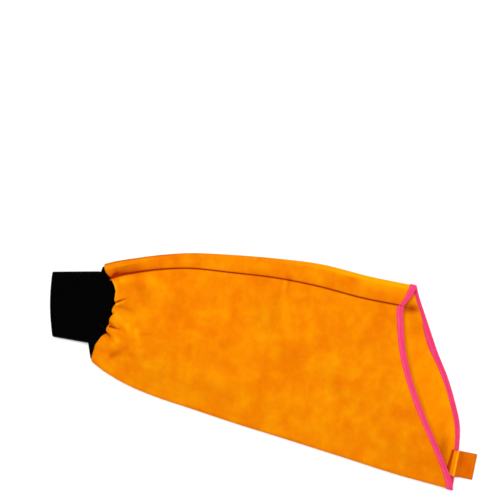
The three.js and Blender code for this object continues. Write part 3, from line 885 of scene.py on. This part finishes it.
# Painted shade in the seam's pinch, along the stitches and at the tape's edges, and painted light on a band
# past the stitches and where the tape bends; the inside leg is a little darker.
tape_creases = dict(seam=0.8, seam_wide=0.9 * mm, stitch=0.3, stitch_wide=0.8 * mm)
tape_rim = dict(dark=0.45, share=0.16)
tape_light = dict(light=0.2, past_stitch=2.6 * mm, wide=1.3 * mm, bend=0.35, bend_at_fold=0.9, inside=-0.1)
back_step = 9 * mm
# The tape's reach on the inside of the mouth, in millimetres, from the seam's fold to the plain one.
inner_leg_rows = [
    dict(across=0.0, leg=4.6),
    dict(across=0.08, leg=4.2),
    dict(across=0.15, leg=5.0),
    dict(across=0.21, leg=8.4),
    dict(across=0.3, leg=10.2),
    dict(across=0.37, leg=8.2),
    dict(across=0.45, leg=7.6),
    dict(across=0.52, leg=6.6),
    dict(across=0.68, leg=6.4),
    dict(across=0.77, leg=5.0),
    dict(across=0.9, leg=4.4),
    dict(across=1.0, leg=5.0),
]

loop_lanes = [lane for lane in lanes if lane[0] != "turned"]
mouth_edge = [lane_point(lane, 1.0) for lane in loop_lanes]
mouth_back = [lane_point(lane, 1.0 - back_step / panel_length) for lane in loop_lanes]
count = len(loop_lanes)
inwards = [(b - e).normalized() for b, e in zip(mouth_back, mouth_edge)]
tangents = []
for k in range(count):
    tangents.append((mouth_edge[(k + 1) % count] - mouth_edge[k - 1]).normalized())
outs = [t.cross(i).normalized() for i, t in zip(inwards, tangents)]
travel = [0.0]
for k in range(1, count + 1):
    travel.append(travel[-1] + (mouth_edge[k % count] - mouth_edge[k - 1]).length)

profile = [(1 - k / leg_steps, 90.0) for k in range(leg_steps)]
profile += [(0.0, 90 - 180 * k / bend_steps) for k in range(bend_steps + 1)]
profile += [((k + 1) / leg_steps, -90.0) for k in range(leg_steps)]


def from_seam(k):
    return min(travel[k % count], travel[count] - travel[k % count])


def leg_width(k, turn):
    """How far in the tape reaches at one place round the mouth, on its outside or its inside."""
    kind, value, _ = loop_lanes[k % count]
    if turn > 0:
        pinch = 1 - seam_pinch["share"] * hump(from_seam(k) / seam_pinch["wide"])
        if kind in ("strip", "seam"):
            widened = smooth(from_seam(k) / strip_widens)
            return (strip_root_leg + (outer_leg - strip_root_leg) * widened) * pinch
        return outer_leg * pinch
    across = {"lower": value, "strip": 0.0, "seam": 0.0, "plain": 1.0, "front": value}[kind]
    return curve(inner_leg_rows, "across", "leg", across) * mm


def tape_point(k, inset, turn, share, proud=0.0):
    """A point of the tape's outer face, inset from its fold. share is 0 at the fold and 1 at the edge."""
    middle = mouth_edge[k] - outs[k] * (hide / 2)
    pucker = 0.8 + 0.2 * math.cos(2 * math.pi * travel[k] / stitch_pitch)
    reach = hide / 2 + tape_gap + tape + tape_fullness * math.sin(math.pi * min(share, 1.0)) + proud
    reach -= stitch_pull["depth"] * pucker * hump((inset - stitch_inset) / stitch_pull["wide"])
    angle = math.radians(turn)
    return middle + inwards[k] * (inset - reach * math.cos(angle)) + outs[k] * (reach * math.sin(angle))


def tape_shade(k, share, turn):
    """Painted shade by the seam, along the stitches and at the tape's edges, and painted light past the
    stitches and where the tape bends.
    """
    from_stitch = share * leg_width(k, turn) - stitch_inset
    shade = tape_creases["seam"] * hump(from_seam(k) / tape_creases["seam_wide"])
    shade += tape_creases["stitch"] * hump(from_stitch / tape_creases["stitch_wide"])
    shade += tape_rim["dark"] * smooth(1 - (1 - share) / tape_rim["share"])
    shade -= tape_light["light"] * hump((from_stitch - tape_light["past_stitch"]) / tape_light["wide"])
    if loop_lanes[k][0] == "plain" and turn < bend_turn:
        return shade - tape_light["bend_at_fold"]
    if abs(turn) < bend_turn:
        return shade - tape_light["bend"]
    return shade - tape_light["inside"] if turn < 0 else shade


bm, uv, table = cut_grid(count, len(profile) - 1)
shade_layer = bm.verts.layers.float["shade"]
for (i, j), vert in table.items():
    share, turn = profile[j]
    vert.co = tape_point(i % count, share * leg_width(i, turn), turn, share)
    vert[shade_layer] = tape_shade(i % count, share, turn)
lay_uvs(bm, uv, table, count, len(profile) - 1)
bmesh.ops.remove_doubles(bm, verts=bm.verts, dist=0.002 * mm)
bmesh.ops.reverse_faces(bm, faces=bm.faces)
binding = new_piece("mouth_tape", bm)
thicken(binding, "tape", tape)


def woven(name, deep, bright, marked, shadow):
    """Close-woven glossy tape: fine crossing threads. Its vertex layer shade paints shadow in the seam's
    pinch, along the stitches and at the edges, and paints light where the tape bends.
    """
    finish = Finish(name)
    cut = finish.uv()
    warp = finish.bands(cut, "X", 700)
    weft = finish.bands(cut, "Y", 520)
    threads = finish.maths("MAXIMUM", warp, weft)
    uneven = finish.noise(cut, 90, 3.0, 0.6)
    streaks = finish.noise(finish.stretched(cut, (0.12, 1.0, 1.0)), 420, 2.0, 0.6)
    tone = finish.ramp(0.24 * threads + 0.3 * uneven + 0.46 * streaks, 0.34, 0.72)
    colour = finish.blend(tone, deep, bright)
    shade = finish.attribute("shade")
    lit = finish.blend(finish.clamp(-1.0 * shade), colour, marked)
    shaded = finish.blend(finish.clamp(shade) * 0.8, lit, shadow)
    specks = finish.ramp(finish.noise(cut, 240, 2.0), 0.6, 0.75)
    faded = finish.blend(specks * 0.2, shaded, marked)
    woven_bump = finish.bump(threads, 0.12 * mm, 0.6)
    soft = finish.bump(uneven, 0.5 * mm, 0.4, woven_bump)
    finish.set(Base_Color=faded, Roughness=0.62, Normal=soft, Specular_IOR_Level=0.12)
    return finish.material


# Deep and bright pink, the pale pink of painted light and specks, and the colour of painted shadow.
tape_colours = (linear(212, 38, 92), linear(236, 64, 114), linear(244, 104, 146), linear(150, 20, 58))
binding.data.materials.append(woven("pink_tape", *tape_colours))
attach(binding, "root")
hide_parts("mouth_binding")


def stitch(bm, start, end, out, thread):
    """One stitch: a short rounded bar of thread half sunk in what it is sewn through."""
    run = end - start
    along = run.normalized()
    side = out.cross(along).normalized()
    up = along.cross(side)
    turn = Matrix((along, side, up)).transposed().to_4x4()
    size = Matrix.Diagonal((run.length / 2, thread, thread, 1.0))
    place = Matrix.Translation((start + end) / 2)
    bmesh.ops.create_uvsphere(bm, u_segments=8, v_segments=5, radius=1.0, matrix=place @ turn @ size)


def sewn_line(points, outs_along, pitch, share, thread):
    """A bmesh of stitches along a line of points, spaced evenly by its length."""
    bm = bmesh.new()
    lengths = [0.0]
    for a, b in zip(points, points[1:]):
        lengths.append(lengths[-1] + (b - a).length)

    def at(distance):
        k = 0
        while k < len(lengths) - 2 and lengths[k + 1] < distance:
            k += 1
        t = (distance - lengths[k]) / max(lengths[k + 1] - lengths[k], 1e-9)
        return points[k].lerp(points[k + 1], min(t, 1.0)), outs_along[k]

    number = int(lengths[-1] / pitch)
    for n in range(number):
        start, out = at(n * lengths[-1] / number)
        end, _ = at((n + share) * lengths[-1] / number)
        stitch(bm, start, end, out, thread)
    return bm


def thread_finish(name, colour, bright):
    """Spun polyester thread, with a twist that catches the light."""
    finish = Finish(name)
    twist = finish.noise(finish.place(), 1500, 2.0, 0.6)
    mixed = finish.blend(finish.ramp(twist, 0.35, 0.65), colour, bright)
    finish.set(Base_Color=mixed, Roughness=0.55, Normal=finish.bump(twist, 0.1 * mm, 0.6))
    return finish.material


thread_radius = 0.32 * mm
thread_proud = 0.1 * mm
stitch_share = 0.78  # of the pitch, the rest being the hole between two stitches
pink_thread = thread_finish("pink_thread", linear(212, 40, 94), linear(238, 64, 118))
for name, turn in (("tape_stitches_outside", 90.0), ("tape_stitches_inside", -90.0)):
    line = [tape_point(k % count, stitch_inset, turn, 0.6, thread_proud) for k in range(count + 1)]
    facing = [outs[k % count] * math.sin(math.radians(turn)) for k in range(count + 1)]
    stitches = new_piece(name, sewn_line(line, facing, stitch_pitch, stitch_share, thread_radius))
    stitches.data.materials.append(pink_thread)
    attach(stitches, "root")

# The tab is a strap of the same hide folded in two. Its two raw ends are sewn inside the mouth, one a little
# behind the other. It bends over the bound edge, where a highlight is painted on its nap, and its folded end
# lies on the bench.
tab_width = 36 * mm
tab_reach = 27.3 * mm
tab_inside = 10.4 * mm
tab_wall = 1.6 * mm
tab_turn = math.radians(-11.5)
tab_place = 1 - 2 / 18
tab_steps, tab_across, tab_nose_steps = 84, 64, 8
layer_gap = 0.3 * mm
tab_seat = 4.1 * mm
tab_sink = 1.3 * mm
end_step = 1.7 * mm
end_slant = 1.9 * mm
slant_start = 5 * mm
tab_fray = dict(height=0.3 * mm, size=4 * mm)
tab_warp = dict(height=0.5 * mm, along=11 * mm, across=12 * mm)
# Painted shade lines at the raw ends and either side of the bend, and a painted highlight on the bend over
# the bound edge.
tab_marks = [
    dict(at=-tab_inside, dark=0.8, wide=0.6 * mm),
    dict(at=end_step - tab_inside, dark=0.8, wide=0.6 * mm),
    dict(at=-7.3 * mm, dark=0.8, wide=0.6 * mm),
    dict(at=-4.4 * mm, dark=-0.45, wide=1.9 * mm),
    dict(at=-0.4 * mm, dark=-1.3, wide=1.4 * mm),
    dict(at=2.2 * mm, dark=0.5, wide=0.6 * mm),
]
tab_edge = dict(dark=0.5, wide=0.6 * mm)


def tab_height(u):
    """The middle of the lower layer: flat inside, up on to the tape, then down to the bench."""
    low_inside = tab_sink * (1 - smooth((u + 9.5 * mm) / (3.0 * mm)))
    return tab_wall / 2 + tab_seat * (1 - smooth((u - 1.0 * mm) / (9 * mm))) - low_inside


lift = tab_wall + layer_gap
nose = tab_reach - tab_wall / 2 - lift / 2
path = []
for k in range(tab_steps + 1):
    u = -tab_inside + (nose + tab_inside) * k / tab_steps
    path.append(Vector((u, 0, tab_height(u))))
for k in range(1, tab_nose_steps):
    turn = math.radians(-90 + 180 * k / tab_nose_steps)
    rise = lift / 2 * (1 + math.sin(turn))
    path.append(Vector((nose + math.cos(turn) * lift / 2, 0, tab_height(nose) + rise)))
for k in range(tab_steps + 1):
    u = nose - (nose + tab_inside - end_step) * k / tab_steps
    path.append(Vector((u, 0, tab_height(u) + lift)))


def tab_shade(u, across):
    """Dark at the cut edges and a little darker past the bound edge, with painted shade at the raw ends and
    beside the bend and a painted highlight on the bend.
    """
    shade = 0.02 + 0.1 * smooth((u - 2.5 * mm) / (2 * mm))
    for mark in tab_marks:
        shade += mark["dark"] * hump((u - mark["at"]) / mark["wide"])
    edge = min(tab_width / 2 - abs(across), tab_reach - u)
    return shade + tab_edge["dark"] * hump(edge / tab_edge["wide"])


tab_at = hide_point("lower", tab_place, 1.0)
tab_at.z = 0
bm, uv, table = cut_grid(len(path) - 1, tab_across)
shade_layer = bm.verts.layers.float["shade"]
for (i, j), vert in table.items():
    across = (j / tab_across - 0.5) * tab_width
    before = path[max(i - 1, 0)]
    after = path[min(i + 1, len(path) - 1)]
    run = (after - before).normalized()
    out = Vector((run.z, 0, -run.x))
    spot = path[i] + out * (tab_wall / 2)
    layer = 0 if i < tab_steps + tab_nose_steps - 2 else 1
    frayed = Vector((spot.x / tab_fray["size"], layer, 9.0 * (j > tab_across / 2)))
    warped = Vector((spot.x / tab_warp["along"], across / tab_warp["across"], 5.0))
    fray = tab_fray["height"] * noise.noise(frayed) * smooth((abs(across) / (tab_width / 2) - 0.9) / 0.1)
    warp = tab_warp["height"] * max(noise.noise(warped), 0.0)
    raw_end = smooth((-slant_start - spot.x) / (tab_inside - slant_start))
    slant = end_slant * (2 * across / tab_width) * raw_end
    vert.co = Vector((spot.x + slant, across + fray, max(spot.z, 0.0) + warp))
    vert[shade_layer] = tab_shade(spot.x, across)
lay_uvs(bm, uv, table, len(path) - 1, tab_across)
for vert in bm.verts:
    vert.co = Matrix.Rotation(tab_turn, 3, "Z") @ vert.co + tab_at
bmesh.ops.reverse_faces(bm, faces=bm.faces)
tab = new_piece("leather_tab", bm)
thicken(tab, "hide", tab_wall)
tab_colours = (linear(196, 84, 1), linear(209, 99, 1), linear(222, 118, 2))
# The tab's painted highlight lightens it towards a pale gold.
tab.data.materials.append(suede("tab_leather", *tab_colours, shade_brown, linear(248, 154, 12)))
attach(tab, "root")
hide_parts("shoulder_tab")


# The bench is a plain white floor, under one soft light that hangs beyond the sleeve, a little to the left.
# The camera looks straight down at it from two metres.
def floor_finish():
    finish = Finish("white_bench")
    tone = finish.blend(finish.noise(finish.place(), 3.0), (0.96, 0.96, 0.96), (0.97, 0.97, 0.97))
    finish.set(Base_Color=tone, Roughness=0.9)
    return finish.material


bench_gap = 0.2 * mm
bm = bmesh.new()
bmesh.ops.create_grid(bm, x_segments=1, y_segments=1, size=6.0)
bmesh.ops.translate(bm, verts=bm.verts, vec=(0, 0, -bench_gap))
bench = new_piece("bench", bm)
bench.data.materials.append(floor_finish())


def panel_light(name, place, aim, size, power):
    lamp = bpy.data.lights.new(name, "AREA")
    lamp.shape = "DISK"
    lamp.size = size
    lamp.energy = power
    light = bpy.data.objects.new(name, lamp)
    bpy.context.scene.collection.objects.link(light)
    light.location = place
    light.rotation_euler = (Vector(aim) - Vector(place)).to_track_quat("-Z", "Y").to_euler()


panel_light("overhead", (-0.35, 0.7, 2.5), (0, 0, 0), 1.3, 47)

world = bpy.data.worlds.new("studio")
bpy.context.scene.world = world
world.use_nodes = True
sky = world.node_tree.nodes["Background"]
sky.inputs["Color"].default_value = (1.0, 1.0, 1.0, 1.0)
sky.inputs["Strength"].default_value = 0.75

pixel = 1.4 * mm
photo_size = 500
camera_height = 2.0
sensor = 36
centre_column, centre_row = 264.4, 371.25  # where the part's origin falls in the photograph
lens = bpy.data.cameras.new("overhead_camera")
camera = bpy.data.objects.new("overhead_camera", lens)
bpy.context.scene.collection.objects.link(camera)
lens.sensor_width = sensor
lens.lens = sensor * camera_height / (photo_size * pixel)
lens.clip_end = 20
camera.location = (
    (photo_size / 2 - centre_column) * pixel,
    (centre_row - photo_size / 2) * pixel,
    camera_height,
)
bpy.context.scene.camera = camera
bpy.context.scene.view_settings.view_transform = "Standard"
